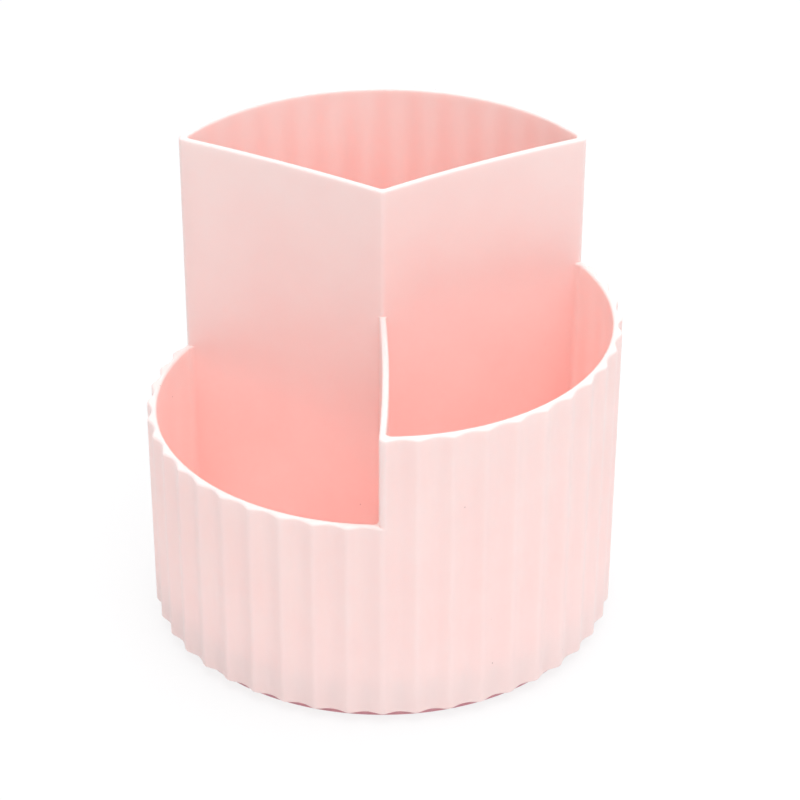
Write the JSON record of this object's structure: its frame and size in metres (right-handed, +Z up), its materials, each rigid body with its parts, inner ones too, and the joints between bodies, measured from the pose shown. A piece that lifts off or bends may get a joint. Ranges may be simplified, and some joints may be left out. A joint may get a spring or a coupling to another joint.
{
  "type": "rotating makeup brush organizer",
  "caption": "Fluted round cup with stepped compartments for makeup brushes, turning on a ball-bearing base.",
  "frame": {"origin": "on the turning axis, at the table that the foot pads stand on", "axes": "+Z up along the turning axis; -Y towards the front, where the low and medium rims meet; +X to the right seen from the front"},
  "size_m": [0.1246, 0.1251, 0.1225],
  "materials": {
    "cup_plastic": "satin, pale pink, slightly translucent",
    "base_plastic": "satin, dusty rose",
    "cage_plastic": "natural, satin",
    "ball_steel": "polished bearing steel",
    "zinc_steel": "bright zinc plated",
    "foot_rubber": "matt, grey"
  },
  "bodies": {
    "base": {"base_plate": "base_plastic", "foot_pad_1": "foot_rubber", "foot_pad_2": "foot_rubber", "foot_pad_3": "foot_rubber", "foot_pad_4": "foot_rubber"},
    "cup": {"cup_body": "cup_plastic", "pivot_screw": "zinc_steel", "pivot_washer": "zinc_steel"},
    "cage": {"ball_cage": "cage_plastic", "ball_01": "ball_steel", "ball_02": "ball_steel", "ball_03": "ball_steel", "ball_04": "ball_steel", "ball_05": "ball_steel", "ball_06": "ball_steel", "ball_07": "ball_steel", "ball_08": "ball_steel", "ball_09": "ball_steel", "ball_10": "ball_steel", "ball_11": "ball_steel", "ball_12": "ball_steel"}
  },
  "joints": [
    {"name": "cup_turn", "type": "hinge", "parent": "base", "child": "cup", "pos_m": [0, 0, 0], "axis": [0, 0, 1], "continuous": true},
    {"name": "cage_turn", "type": "hinge", "parent": "base", "child": "cage", "pos_m": [0, 0, 0], "axis": [0, 0, 1], "continuous": true}
  ],
  "couplings": [
    {"joint": "cage_turn", "follows": "cup_turn", "ratio": 0.5}
  ]
}
